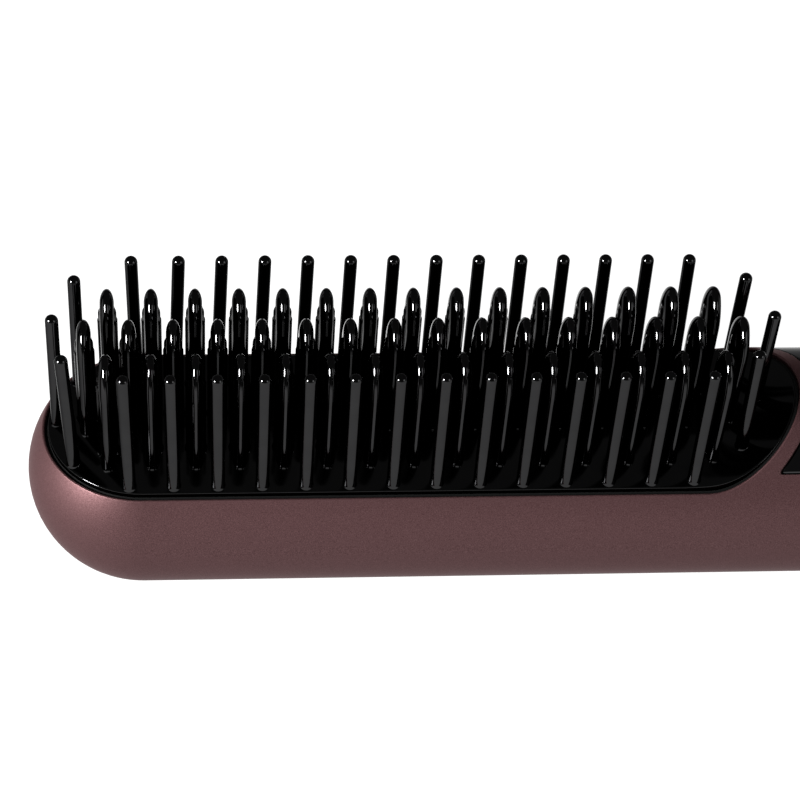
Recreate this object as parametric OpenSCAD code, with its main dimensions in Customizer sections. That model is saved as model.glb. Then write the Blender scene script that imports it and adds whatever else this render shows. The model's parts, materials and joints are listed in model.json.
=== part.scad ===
// Cordless hair straightening brush lying on its back, teeth up.
// +X runs from the round nose of the head to the tail, +Z points up, Y is across.
// The origin is under the middle of the body, on the surface it rests on.

/* [Body] */
// Overall length from the nose to the tail face
body_length = 240; // [200:5:300]
// Outer radius of the round body
body_radius = 16.35; // [13:0.05:20]
// Thickness of the body's wall
wall = 1.85; // [1.4:0.05:2.4]
// How much of the round underside is flattened into a foot
foot_depth = 1.4; // [1:0.1:2]
// Distance from the side of the body to the edge of the plate's recess
rim_width = 2.55; // [2.2:0.05:3.2]

/* [Brush head] */
// Width of the seal round the plate
seal_width = 0.6; // [0.4:0.05:1]
// How far the plate's middle stands above its long edges
plate_crown = 1.95; // [1:0.05:2.6]
// How far the plate's long edges stand above the edge of the recess
plate_rise = 0.16; // [0:0.02:0.6]
// How far the plate's right end lies below the top of the handle
sweep_drop = 0.44; // [0.3:0.02:1]
// Distance from one outer pin to the next along the head
pin_pitch = 6; // [5:0.1:7.5]
// Outer pins in the front row, and in the back row
pin_count = 14; // [8:1:16]
// Height of the outer pins above the middle of the plate
pin_height = 19.1; // [15:0.1:26]
// Radius of an outer pin at its foot
pin_radius = 0.93; // [0.6:0.01:1.1]
// Lean of the outer pins towards the middle of the head, in degrees
pin_lean = 2; // [0:0.5:4]
// Lean of the pins at the front of the nose away from the head, in degrees
corner_lean = 3.5; // [0:0.5:5]
// Lean of the back pins along the head, towards its middle, at the ends of their row
back_lean = 2.6; // [0:0.2:4]
// Gap across the head between an outer pin and the heated tooth beside it
tooth_gap = 1.46; // [0.8:0.02:2.4]
// Least gap across the head between a front tooth and the back tooth behind it
row_gap = 0.3; // [0.2:0.05:2]
// Height of the heated teeth above the middle of the plate
tooth_height = 18; // [13:0.1:23]
// Width of a heated tooth along the head
tooth_width = 2.8; // [2.2:0.1:3.4]
// Depth of a heated tooth across the head
tooth_depth = 7.2; // [5:0.1:8.4]

/* [Controls] */
// Length of the black control panel
panel_length = 62; // [50:1:76]
// Distance from the side of the body to the panel's long edges
panel_side = 3.25; // [2.8:0.05:4.5]
// Strip of body left between the plate's recess and the panel
panel_strip = 1.8; // [1.2:0.1:3]
// Radius of the power button
power_radius = 4.4; // [3.6:0.1:5.2]
// Radius of the two temperature buttons
step_radius = 3.6; // [3:0.1:4.2]
// How far a button travels when pressed
button_travel = 0.4; // [0.2:0.05:0.5]

/* [Hidden] */
// Smoothness of round faces
$fn = 96;
// Gap round pieces that slide into each other, and round pieces that are seated
slide_gap = 0.1;
seat_gap = 0.05;
// Extra length of a cut past the face it opens
cut = 1;

// Centre of the body's round section
axis_z = body_radius - foot_depth;
// Radius of the cavity inside the body, height of its floor and half the floor's width
inner_radius = body_radius - wall;
floor_z = wall;
floor_half = sqrt(pow(inner_radius, 2) - pow(axis_z - floor_z, 2));
// Height above every piece
above = 3 * body_radius;
// Left end of the body, centre of the round nose, and right end
nose_x = -body_length / 2;
nose_centre = nose_x + body_radius;
tail_x = body_length / 2;

// Radii of the recess in the body and of the plate
recess_radius = body_radius - rim_width;
plate_radius = recess_radius - seal_width;
// Distance of the long pin rows and the end pins from the plate's edge
pin_inset = pin_radius + 0.13;
end_inset = pin_radius + 0.5;
// Width of a tooth, which leaves room for its neighbours' fins
tooth_span = min(tooth_width, 0.47 * pin_pitch);
// Reach of the end pins, and how far the rows run past the centre of the nose:
// the first pin stays on the round plate, and the first tooth clear of the nose's pin
end_reach = plate_radius - end_inset;
corner_reach = sqrt(pow(plate_radius - pin_radius - 0.02, 2) - pow(plate_radius - pin_inset, 2));
tooth_reach = end_reach - pin_radius - tooth_span / 2 - 0.3 - pin_pitch;
pin_reach = min(corner_reach, tooth_reach);
// First and last outer pin along the head
first_pin = nose_centre - pin_reach;
last_pin = first_pin + (pin_count - 1) * pin_pitch;
// Distance from the middle row of teeth to the rows beside it: out to the pins' gap, and
// never so near that a front tooth meets a back one
pin_step = plate_radius - pin_inset - pin_radius - tooth_gap - tooth_depth / 2;
row_step = max(pin_step, (tooth_depth + row_gap) / 2);
// Height of the recess's long edges and of the plate's middle
rim_z = axis_z + sqrt(pow(body_radius, 2) - pow(recess_radius, 2));
plate_z = rim_z + plate_rise + plate_crown;
// Centres of the round ends of the plate and its recess
plate_left = nose_centre;
plate_right = last_pin + 2.045;
// Crown of the plate and its sweep up to the handle, which starts between a tooth and a pin
crown_radius = (pow(plate_radius, 2) + pow(plate_crown, 2)) / (2 * plate_crown);
sweep_start = last_pin - pin_pitch / 4;
sweep_length = plate_right + plate_radius - sweep_start;
sweep_rise = axis_z + body_radius - sweep_drop - plate_z;
sweep_radius = (pow(sweep_length, 2) + pow(sweep_rise, 2)) / (2 * sweep_rise);
// Depth of the seal's top below the body's surface, and of the plate's top at the recess's end
seal_drop = 0.8;
plate_drop = 0.2;
// Angle between two end pins, seen from the middle of the round end
end_angle = 40;
// Places and leans along the head of the pins in the two long rows
pins = [0 : pin_count - 1];
front_lean = 0.43 * corner_lean;
front_places = [for (i = pins) first_pin + i * pin_pitch];
front_leans = [for (i = pins) -front_lean * max(0, 1 - i / 3)];
// The back row is a little wider, and its first pin is set in and leans outwards
back_step = pin_pitch + 0.08;
back_start = first_pin - 0.1;
back_set_in = 0.8;
back_corner_lean = 1.1;
back_places = [for (i = pins) back_start + (i == 0 ? back_set_in : i * back_step)];
back_leans = [for (i = pins) i == 0 ? -back_corner_lean : back_lean * (1 - 2 * i / (pin_count - 1))];

// Underside of the plate, its pocket and the heating block in it
plate_bottom = plate_z - 5.97;
plate_skin = 1.5;
pocket_radius = plate_radius - 1.75;
block_radius = pocket_radius - 0.3;
block_end = last_pin - 0.5;
block_top = plate_z - crown_drop(block_radius) - plate_skin;
// Fuse and temperature sensor at the sides of the pocket
fuse_radius = 1.1;
fuse_length = 9;
fuse_offset = pocket_radius - fuse_radius - 0.9;
bead_radius = 1.1;
stalk_radius = 0.5;
stalk_length = 6;
// Clamp between them, the heating strips above it and its screws
clamp_half = fuse_offset - fuse_radius - 0.2;
clamp_thick = 0.8;
clamp_inset = 2;
clamp_screw_radius = 0.95;
strip_gap = 2 * (clamp_screw_radius + 2 * slide_gap);
strip_width = clamp_half - 1.25 - strip_gap / 2;
strip_offset = (strip_gap + strip_width) / 2;
strip_thick = 1.2;
strip_inset = 4;
strip_bottom = plate_bottom - strip_thick;
clamp_bottom = strip_bottom - clamp_thick;
clamp_hole_radius = 1.1;
clamp_head_radius = 1.9;
clamp_head_height = 1.2;
clamp_places = [first_pin + 8, (first_pin + last_pin) / 2, last_pin - 8];
// Carrier under the plate, and the legs it stands on
carrier_pocket_bottom = clamp_bottom - 0.8;
carrier_bottom = carrier_pocket_bottom - 1.4;
leg_radius = 2.2;
leg_offset = floor_half - leg_radius - 0.4;
leg_places = [first_pin + 3, (first_pin + last_pin) / 2 + 9, last_pin - 14];
// Wires, and where the heater's wires turn down
wire_radius = 0.5;
wire_offset = 2.5;
wire_turn_x = last_pin - 0.7;

// Control panel along the body
panel_start = plate_right + recess_radius + panel_strip;
panel_end = panel_start + panel_length;
panel_half = body_radius - panel_side;
panel_thick = 0.9;
panel_ledge = 1.2;
// Depth and radius of the panel's bowed right end
panel_bow = 8;
bow_radius = 1.2 * body_radius + panel_bow;
// Places of the display and the buttons, as shares of the panel's length
display_x = panel_start + 0.19 * panel_length;
plus_x = panel_start + 0.42 * panel_length;
minus_x = panel_start + 0.58 * panel_length;
power_x = panel_start + 0.79 * panel_length;
button_places = [power_x, plus_x, minus_x];
display_length = 15;
display_half = 5.9;
// Charge lights, in a line across the panel
light_x = panel_end - 5.5;
light_step = 2.6;
light_radius = 0.6;

// Board and the room above it, with the cells in the room left below
board_room = 7.42;
board_thick = 1.2;
board_top = axis_z + inner_radius - board_room;
board_z = board_top - board_thick;
board_start = panel_start + 1;
board_end = panel_end + 4;
board_half = sqrt(pow(inner_radius - 0.4, 2) - pow(board_top - axis_z, 2));
cell_cover = 0.9;
cell_radius = (board_z - cell_cover - floor_z - slide_gap) / 2;
cell_z = floor_z + slide_gap + cell_radius;
cell_gap = 1;
cells_start = panel_start + 2.5;
tail_room = 30;
cell_length = (tail_x - tail_room - cells_start - cell_gap) / 2;
cells_end = cells_start + 2 * cell_length + cell_gap;
contact_thick = 0.45;
contact_half = 4;
// Cradle round the cells and under the boards
cradle_wall = 3;
cradle_start = cells_start - contact_thick - slide_gap - cradle_wall - 0.45;
cell_room_end = cells_end + contact_thick + 2.5;
cradle_end = tail_x - 12;

// Tail cap, with a spigot that fits into the body
cap_length = 5;
cap_round = 3;
cap_x = tail_x - cap_length;
spigot_length = 6;
spigot_wall = 1.8;
spigot_x = cap_x - spigot_length;
// Charging socket, its board and its light
socket_half = 3;
socket_radius = 1.6;
socket_length = 7.4;
socket_sunk = 0.6;
socket_wall = 0.35;
tongue_half = 2.1;
tongue_thick = 0.7;
charge_board_thick = 0.8;
charge_board_z = axis_z - socket_radius - charge_board_thick;
charge_board_start = cell_room_end + cradle_wall + 0.5;
charge_light_radius = 1;
charge_light_z = axis_z + 7.35;
// Screws through the cap into posts on the cradle, midway between the socket and the spigot
tail_screw_radius = 1;
tail_head_radius = 2;
tail_head_height = 1.2;
tail_head_sunk = 0.4;
tail_head_x = tail_x - tail_head_height - tail_head_sunk;
slot_length = 2.4;
slot_width = 0.5;
tail_space = (inner_radius - slide_gap - spigot_wall - socket_half - socket_radius) / 2;
screw_offset = socket_half + socket_radius + tail_space;
post_radius = 0.65 * tail_space;
charge_board_half = screw_offset - post_radius - 0.4;

// Buttons, their flanges under the panel and the switches below
button_gap = 0.15;
button_proud = 0.35;
flange_rim = 0.7;
flange_thick = 0.9;
stem_radius = 1.3;
switch_body = 2.2;
switch_half = 2.6;
switch_height = 3.6;
switch_gap = 0.15;
stem_bottom = board_top + switch_height;

// Teeth: rounding of the tips, core, shoulder round the core and fin
tip_cut = 0.5;
core_half = 0.37 * tooth_span;
core_rise = 2.8;
core_tip = 0.7;
shoulder_rise = 3.95;
shoulder_tip = 0.36 * tooth_span;
shoulder_drop = 1.45;
fin_half = 0.35 * tooth_width;
fin_tip = 2.65;
fin_rise = 0.4 * tooth_height;
fin_drop = 1.6;

// How far the crowned plate lies below its middle at a distance from it
function crown_drop(across) = crown_radius - sqrt(pow(crown_radius, 2) - pow(across, 2));

// Round bar along X with a ball at its left end
module capsule(radius, from_x, to_x, height) {
    translate([from_x, 0, height]) sphere(r = radius);
    translate([from_x, 0, height]) rotate([0, 90, 0]) cylinder(r = radius, h = to_x - from_x);
}

// Long shape with two round ends, seen from above
module stadium(radius, from_x, to_x) {
    translate([from_x, 0]) circle(r = radius);
    translate([to_x, 0]) circle(r = radius);
    translate([from_x, -radius]) square([to_x - from_x, 2 * radius]);
}

// Upright prism of a stadium between two heights
module stadium_block(radius, from_x, to_x, low, high) {
    translate([0, 0, low]) linear_extrude(height = high - low) stadium(radius, from_x, to_x);
}

// Round bar along X between two places
module bar(radius, from_x, to_x, height) {
    translate([from_x, 0, height]) rotate([0, 90, 0]) cylinder(r = radius, h = to_x - from_x);
}

// Box given by its low and high corner
module box(low, high) {
    translate(low) cube(high - low);
}

// Quarter of a disc in the corner between +X and +Y
module quarter(radius) {
    intersection() {
        circle(r = radius);
        square([radius, radius]);
    }
}

// Outline of the control panel from above, made smaller by inset
module panel_outline(inset) {
    half = panel_half - inset;
    bow_x = panel_end - panel_bow;
    difference() {
        union() {
            translate([plate_right, -half]) square([bow_x - plate_right, 2 * half]);
            translate([bow_x, 0]) intersection() {
                translate([panel_bow - bow_radius, 0]) circle(r = bow_radius - inset);
                translate([-0.01, -half]) square([2 * panel_bow, 2 * half]);
            }
        }
        translate([plate_right, 0]) circle(r = recess_radius + panel_strip + inset);
    }
}

// Space of the curved panel between two radii, made smaller by inset
module panel_block(inset, low_radius, high_radius) {
    intersection() {
        translate([0, 0, axis_z]) linear_extrude(height = above) panel_outline(inset);
        difference() {
            bar(high_radius, panel_start - body_radius, panel_end + body_radius, axis_z);
            bar(low_radius, panel_start - body_radius - cut, panel_end + body_radius + cut, axis_z);
        }
    }
}

// Upright holes through the panel for the buttons
module button_holes() {
    translate([power_x, 0, axis_z]) cylinder(r = power_radius + button_gap, h = above);
    translate([plus_x, 0, axis_z]) cylinder(r = step_radius + button_gap, h = above);
    translate([minus_x, 0, axis_z]) cylinder(r = step_radius + button_gap, h = above);
}

// Upright round bars at the places of the charge lights
module light_bars(radius, low, high) {
    for (i = [-1.5 : 1 : 1.5])
        translate([light_x, i * light_step, low]) cylinder(r = radius, h = high - low);
}

// Body: round tube with a ball nose, flat foot, recess for the plate and window for the panel
module body_sleeve() {
    color("#6b5055") difference() {
        intersection() {
            capsule(body_radius, nose_centre, cap_x, axis_z);
            box([nose_x - cut, -body_radius - cut, 0], [cap_x, body_radius + cut, above]);
        }
        intersection() {
            capsule(inner_radius, nose_centre, cap_x + cut, axis_z);
            box([nose_x, -body_radius, floor_z], [tail_x, body_radius, above]);
        }
        stadium_block(recess_radius, plate_left, plate_right, axis_z + cut, above);
        panel_block(0, body_radius - panel_thick, body_radius + cut);
        panel_block(panel_ledge, inner_radius - cut, body_radius + cut);
    }
}

// Soft seal round the plate, sunk a little below the rim
module recess_seal() {
    color("#0d0d0e") intersection() {
        difference() {
            stadium_block(recess_radius - seat_gap, plate_left, plate_right, plate_bottom, above);
            stadium_block(plate_radius + seat_gap, plate_left, plate_right, plate_bottom - cut, above + cut);
        }
        capsule(body_radius - seal_drop, plate_left, plate_right + body_radius, axis_z);
    }
}

// Crowned top of the plate, with the sweep up to the handle at its right end
module plate_top() {
    intersection() {
        capsule(body_radius - plate_drop, plate_left, plate_right + body_radius, axis_z);
        union() {
            intersection() {
                capsule(crown_radius, plate_left, sweep_start, plate_z - crown_radius);
                box([nose_x, -body_radius, plate_bottom - cut], [sweep_start, body_radius, plate_z + cut]);
            }
            translate([sweep_start, 0, plate_z + sweep_radius]) rotate([90, 0, 0]) rotate([0, 0, -90])
                rotate_extrude(angle = 60) intersection() {
                    translate([sweep_radius, -body_radius]) square([body_radius, 2 * body_radius]);
                    translate([sweep_radius + crown_radius, 0]) circle(r = crown_radius);
                }
        }
    }
}

// Outside of the plate without its hollow underside
module plate_solid() {
    intersection() {
        plate_top();
        stadium_block(plate_radius, plate_left, plate_right, plate_bottom, above);
    }
}

// Glossy plate that the teeth and pins stand on
module bristle_plate() {
    color("#101011") difference() {
        plate_solid();
        stadium_block(pocket_radius, plate_left, last_pin, plate_bottom - cut, block_top + seat_gap);
    }
}

// Half of a round-topped arch, standing on the axis: half width, rise of the curved part, tip radius
module half_arch(half, rise, tip, low, high) {
    bend = (half * half + rise * rise) / (2 * half);
    intersection() {
        union() {
            translate([0, low]) square([half, high - rise - low]);
            intersection() {
                translate([half - bend, high - rise]) circle(r = bend);
                translate([0, high - rise - 0.01]) square([half, rise + cut]);
            }
        }
        union() {
            translate([0, low]) square([half, high - tip_cut - tip - low]);
            intersection() {
                translate([0, high - tip_cut - tip]) circle(r = tip);
                translate([0, high - tip_cut - tip - 0.01]) square([tip, tip + cut]);
            }
        }
    }
}

// One heated tooth: a round core with a shoulder, and a thin fin across the head
module tooth() {
    low = plate_z - 4;
    high = plate_z + tooth_height + tip_cut;
    fin_top = high - fin_drop;
    rotate_extrude() {
        half_arch(core_half, core_rise, core_tip, low, high);
        half_arch(tooth_span / 2, shoulder_rise, shoulder_tip, low, high - shoulder_drop);
    }
    intersection() {
        translate([-tooth_span, 0, 0]) rotate([90, 0, 90]) linear_extrude(height = 2 * tooth_span) {
            half_arch(tooth_depth / 2, fin_rise, fin_tip, low, fin_top);
            mirror([1, 0]) half_arch(tooth_depth / 2, fin_rise, fin_tip, low, fin_top);
        }
        translate([0, 0, low]) linear_extrude(height = high - low) {
            translate([-fin_half, fin_half - tooth_depth / 2])
                square([2 * fin_half, tooth_depth - 2 * fin_half]);
            translate([0, tooth_depth / 2 - fin_half]) circle(r = fin_half);
            translate([0, fin_half - tooth_depth / 2]) circle(r = fin_half);
        }
    }
}

// Row of teeth, cut to stand on the plate
module tooth_row(count, start, across) {
    difference() {
        for (i = [0 : count - 1]) translate([start + i * pin_pitch, across, 0]) tooth();
        plate_solid();
    }
}

// Heated teeth nearest the front
module teeth_front() {
    color("#0f0f10") tooth_row(pin_count + 1, first_pin - pin_pitch / 2, -row_step);
}

// Heated teeth along the middle
module teeth_middle() {
    color("#0f0f10") tooth_row(pin_count + 2, first_pin - pin_pitch, 0);
}

// Heated teeth nearest the back
module teeth_back() {
    color("#0f0f10") tooth_row(pin_count + 1, first_pin - pin_pitch / 2, row_step);
}

// One outer pin with a round tip, reaching from below the plate's surface
module pin(lean_across, lean_along) {
    low = plate_z - 3;
    tip = 0.97 * pin_radius;
    reach = plate_z + pin_height - tip - low;
    translate([0, 0, low]) rotate([lean_across, lean_along, 0]) rotate_extrude() {
        polygon([[0, 0], [pin_radius, 0], [tip, reach], [0, reach]]);
        translate([0, reach]) quarter(tip);
    }
}

// Long row of outer pins, cut to stand on the plate
module pin_row(across, places, lean_across, leans) {
    difference() {
        for (i = pins) translate([places[i], across, 0]) pin(lean_across, leans[i]);
        plate_solid();
    }
}

// Outer pins round one end of the plate, the one nearest the front leaning
module pin_end(centre, side, lean_along) {
    difference() {
        for (turn = [side - end_angle, side, side + end_angle])
            translate([centre + end_reach * cos(turn), end_reach * sin(turn), 0])
                pin(0, sin(turn) < -0.1 ? lean_along : 0);
        plate_solid();
    }
}

// Outer pins along the front edge
module pins_front() {
    color("#141415") pin_row(pin_inset - plate_radius, front_places, -pin_lean, front_leans);
}

// Outer pins along the back edge
module pins_back() {
    color("#141415") pin_row(plate_radius - pin_inset, back_places, pin_lean, back_leans);
}

// Outer pins round the nose
module pins_left_end() {
    color("#141415") pin_end(nose_centre, 180, -corner_lean);
}

// Outer pins next to the handle
module pins_right_end() {
    color("#141415") pin_end(last_pin - pin_reach, 0, -corner_lean / 2);
}

// Aluminium block that spreads the heat under the plate
module heat_base() {
    color("#b9bcc0") stadium_block(block_radius, plate_left, block_end, plate_bottom, block_top);
}

// Two flat heating strips under the block
module heater_strips() {
    color("#e4e1d8") for (side = [-1, 1])
        box([first_pin + strip_inset, side * strip_offset - strip_width / 2, strip_bottom],
            [last_pin - strip_inset, side * strip_offset + strip_width / 2, plate_bottom]);
}

// Spring plate that holds the strips against the block
module heater_clamp() {
    color("#a8abb0") difference() {
        box([first_pin + clamp_inset, -clamp_half, clamp_bottom],
            [last_pin - clamp_inset, clamp_half, strip_bottom]);
        for (x = clamp_places) translate([x, 0, clamp_bottom - cut])
            cylinder(r = clamp_hole_radius, h = clamp_thick + 2 * cut);
    }
}

// Three screws that hold the clamp
module clamp_screws() {
    color("#8f9296") for (x = clamp_places) translate([x, 0, 0]) {
        translate([0, 0, clamp_bottom - clamp_head_height])
            cylinder(r = clamp_head_radius, h = clamp_head_height);
        translate([0, 0, clamp_bottom - 0.01])
            cylinder(r = clamp_screw_radius, h = plate_bottom - clamp_bottom + 0.01);
    }
}

// Tray under the plate that carries it and keeps the heat off the cells
module head_carrier() {
    color("#3a3a3d") difference() {
        intersection() {
            stadium_block(recess_radius - slide_gap, plate_left, plate_right,
                carrier_bottom, plate_bottom - seat_gap);
            capsule(inner_radius - slide_gap, plate_left, plate_right + body_radius, axis_z);
        }
        stadium_block(pocket_radius, plate_left, last_pin, carrier_pocket_bottom, plate_bottom + cut);
        for (x = clamp_places) translate([x, 0, carrier_bottom - cut])
            cylinder(r = clamp_head_radius + 2 * slide_gap, h = plate_bottom - carrier_bottom);
        for (side = [-1, 1]) translate([wire_turn_x, side * wire_offset, carrier_bottom - cut])
            cylinder(r = wire_radius + 3 * slide_gap, h = plate_bottom - carrier_bottom);
    }
    color("#3a3a3d") for (x = leg_places, side = [-1, 1])
        translate([x, side * leg_offset, floor_z + seat_gap])
            cylinder(r = leg_radius, h = carrier_bottom + 0.5 - floor_z);
}

// Fuse that opens when the head gets too hot
module thermal_fuse() {
    color("#c9a24a") translate([first_pin + 14, -fuse_offset, strip_bottom])
        rotate([0, 90, 0]) cylinder(r = fuse_radius, h = fuse_length);
}

// Temperature sensor bead on its stalk, on the other side of the clamp
module thermistor() {
    color("#7a3b2a") translate([last_pin - 18, fuse_offset, strip_bottom]) rotate([0, 90, 0])
        rotate_extrude() {
            square([stalk_radius, stalk_length]);
            quarter(bead_radius);
            mirror([0, 1]) quarter(bead_radius);
        }
}

// Two insulated wires from the strips to the main board
module heater_leads() {
    low = carrier_bottom - 1.4;
    high = strip_bottom + strip_thick / 2;
    color("#b5402e") for (side = [-1, 1]) translate([wire_turn_x, side * wire_offset, 0]) {
        translate([0, 0, high]) rotate([0, -90, 0])
            cylinder(r = wire_radius, h = wire_turn_x - last_pin + strip_inset - seat_gap);
        translate([0, 0, high]) sphere(r = wire_radius);
        translate([0, 0, low]) cylinder(r = wire_radius, h = high - low);
        translate([0, 0, low]) sphere(r = wire_radius);
        translate([0, 0, low]) rotate([0, 90, 0])
            cylinder(r = wire_radius, h = cradle_start - wire_turn_x - slide_gap);
    }
}

// Glossy curved panel with openings for the buttons and lights
module control_lens() {
    color("#08080a") difference() {
        union() {
            panel_block(slide_gap, body_radius - panel_thick + 0.03, body_radius - seat_gap);
            panel_block(panel_ledge + slide_gap, inner_radius + slide_gap, body_radius - panel_thick + 0.04);
        }
        button_holes();
        light_bars(light_radius + seat_gap, axis_z, above);
    }
}

// Number display under the panel
module display_module() {
    display_top = axis_z + sqrt(pow(inner_radius, 2) - pow(display_half, 2)) - 2 * slide_gap;
    color("#2a2b2e") box([display_x - display_length / 2, -display_half, board_top],
        [display_x + display_length / 2, display_half, display_top]);
}

// Four light guides for the charge level
module indicator_lights() {
    color("#d9dde0") intersection() {
        light_bars(light_radius, board_top, above);
        bar(body_radius, panel_start, panel_end, axis_z);
    }
}

// Button with a curved cap just proud of the panel, a flange under it and a stem
module button(place, radius) {
    flange_top = axis_z + sqrt(pow(inner_radius + slide_gap, 2) - pow(radius + flange_rim, 2)) - 0.12;
    flange_bottom = flange_top - flange_thick;
    translate([place, 0, 0]) {
        intersection() {
            translate([0, 0, flange_bottom]) cylinder(r = radius, h = body_radius);
            bar(body_radius + button_proud, -2 * radius, 2 * radius, axis_z);
        }
        translate([0, 0, flange_bottom]) cylinder(r = radius + flange_rim, h = flange_thick);
        translate([0, 0, stem_bottom])
            cylinder(r = stem_radius, h = flange_bottom + flange_thick / 2 - stem_bottom);
    }
}

// Power button
module power_button() {
    color("#1c1c1f") button(power_x, power_radius);
}

// Button for more heat
module plus_button() {
    color("#1c1c1f") button(plus_x, step_radius);
}

// Button for less heat
module minus_button() {
    color("#1c1c1f") button(minus_x, step_radius);
}

// Three push switches on the board, one under each button
module tact_switches() {
    color("#4a4b4f") for (x = button_places) translate([x, 0, board_top]) {
        translate([-switch_half, -switch_half, 0]) cube([2 * switch_half, 2 * switch_half, switch_body]);
        cylinder(r = 1.2, h = switch_height - button_travel - switch_gap);
    }
}

// Main circuit board
module main_board() {
    color("#1f5a3a") box([board_start, -board_half, board_z], [board_end, board_half, board_top]);
}

// Parts soldered on the board: place along and across, length, width, height
module board_parts() {
    for (part = [[plus_x - 4, 5.9, 7, 4.2, 1.2], [minus_x - 3, -10, 8, 5, 1.6],
                 [power_x - 4, 6.5, 5, 4.2, 2], [power_x + 3, -9.4, 3, 4.8, 2.4]])
        color("#26272a") translate([part[0], part[1] * board_half / 12.5, board_top])
            cube([part[2], part[3] * board_half / 12.5, part[4]]);
}

// Cradle that holds the cells and the boards, with two posts for the tail screws
module cell_cradle() {
    cell_room = cell_radius + slide_gap;
    color("#303134") difference() {
        union() {
            intersection() {
                bar(inner_radius - 0.15, cradle_start, cradle_end, axis_z);
                box([cradle_start, -body_radius, floor_z + slide_gap],
                    [cradle_end, body_radius, board_z - 0.02]);
            }
            for (side = [-1, 1]) translate([0, side * screw_offset, 0])
                bar(post_radius, cradle_end - 2, cap_x - slide_gap, axis_z);
        }
        bar(cell_room, cradle_start + cradle_wall, cell_room_end, cell_z);
        box([cradle_start + cradle_wall, -cell_room, cell_z], [cell_room_end, cell_room, board_z + cut]);
        box([cell_room_end + cradle_wall, -charge_board_half - slide_gap, charge_board_z - 0.02],
            [cradle_end + cut, charge_board_half + slide_gap, board_z + cut]);
        for (side = [-1, 1]) translate([0, side * screw_offset, 0])
            bar(tail_screw_radius + 0.02, cap_x - 6, cap_x + cut, axis_z);
    }
}

// Two round cells end to end
module cells() {
    color("#2f6f8f") for (i = [0, 1]) translate([i * (cell_length + cell_gap), 0, 0])
        bar(cell_radius, cells_start, cells_start + cell_length, cell_z);
}

// Metal contacts at the ends of the cells and between them
module cell_contacts() {
    between = cells_start + cell_length + (cell_gap - contact_thick) / 2;
    color("#cfd1d4") for (x = [cells_start - contact_thick - seat_gap, between, cells_end + seat_gap])
        box([x, -contact_half, cell_z - contact_half],
            [x + contact_thick, contact_half, cell_z + contact_half]);
}

// Small board for charging at the tail
module charge_board() {
    color("#1f5a3a") box([charge_board_start, -charge_board_half, charge_board_z],
        [cap_x - 2 * slide_gap, charge_board_half, charge_board_z + charge_board_thick]);
}

// Flat-sided oval bar along X, made wider by gap
module socket_shape(gap, from_x, to_x) {
    translate([from_x, 0, axis_z]) rotate([90, 0, 90]) linear_extrude(height = to_x - from_x) {
        translate([-socket_half, 0]) circle(r = socket_radius + gap);
        translate([socket_half, 0]) circle(r = socket_radius + gap);
        translate([-socket_half, -socket_radius - gap]) square([2 * socket_half, 2 * (socket_radius + gap)]);
    }
}

// Charging socket with its flat mouth in the tail face
module charge_socket() {
    mouth_x = tail_x - socket_sunk;
    back_x = mouth_x - socket_length;
    color("#b4b7bb") difference() {
        socket_shape(0, back_x, mouth_x);
        socket_shape(-socket_wall, back_x + 1.5, tail_x);
    }
    color("#26272a") box([back_x + cut / 2, -tongue_half, axis_z - tongue_thick / 2],
        [mouth_x - 1, tongue_half, axis_z + tongue_thick / 2]);
}

// Round light window above the socket
module charge_light() {
    color("#d9dde0") bar(charge_light_radius, cap_x - 2, tail_x - slide_gap, charge_light_z);
}

// Two wires from the charging board to the main board
module charge_leads() {
    high = board_top + wire_radius;
    low = charge_board_z + charge_board_thick;
    turn_x = charge_board_start + 2;
    color("#b5402e") for (side = [-1, 1]) translate([0, side * wire_offset, 0]) {
        bar(wire_radius, board_end - 2, turn_x, high);
        translate([turn_x, 0, high]) sphere(r = wire_radius);
        translate([turn_x, 0, low]) cylinder(r = wire_radius, h = high - low);
    }
}

// Cap that closes the tail, with openings for the socket, light and screws
module tail_cap() {
    color("#5d464b") difference() {
        union() {
            intersection() {
                translate([cap_x, 0, axis_z]) rotate([0, 90, 0]) rotate_extrude() {
                    square([body_radius, cap_length - cap_round]);
                    square([body_radius - cap_round, cap_length]);
                    translate([body_radius - cap_round, cap_length - cap_round]) quarter(cap_round);
                }
                box([cap_x, -body_radius - cut, 0], [tail_x, body_radius + cut, above]);
            }
            intersection() {
                bar(inner_radius - slide_gap, spigot_x, cap_x + cut, axis_z);
                box([spigot_x, -body_radius, floor_z + slide_gap],
                    [cap_x + cut, body_radius, above]);
            }
        }
        bar(inner_radius - slide_gap - spigot_wall, spigot_x - cut, cap_x, axis_z);
        socket_shape(slide_gap, cap_x - cut, tail_x + cut);
        bar(charge_light_radius + seat_gap, cap_x - cut, tail_x + cut, charge_light_z);
        for (side = [-1, 1]) translate([0, side * screw_offset, 0]) {
            bar(tail_screw_radius + slide_gap, cap_x - cut, tail_x + cut, axis_z);
            bar(tail_head_radius + slide_gap, tail_head_x, tail_x + cut, axis_z);
        }
    }
}

// Two slotted screws through the cap into the cradle's posts
module tail_screws() {
    color("#8f9296") for (side = [-1, 1]) translate([0, side * screw_offset, 0]) {
        difference() {
            bar(tail_head_radius, tail_head_x, tail_head_x + tail_head_height, axis_z);
            translate([tail_head_x + 0.7, 0, axis_z]) {
                translate([0, -slot_length / 2, -slot_width / 2]) cube([cut, slot_length, slot_width]);
                translate([0, -slot_width / 2, -slot_length / 2]) cube([cut, slot_width, slot_length]);
            }
        }
        bar(tail_screw_radius, cap_x - 5, tail_head_x + 0.01, axis_z);
    }
}

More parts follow.
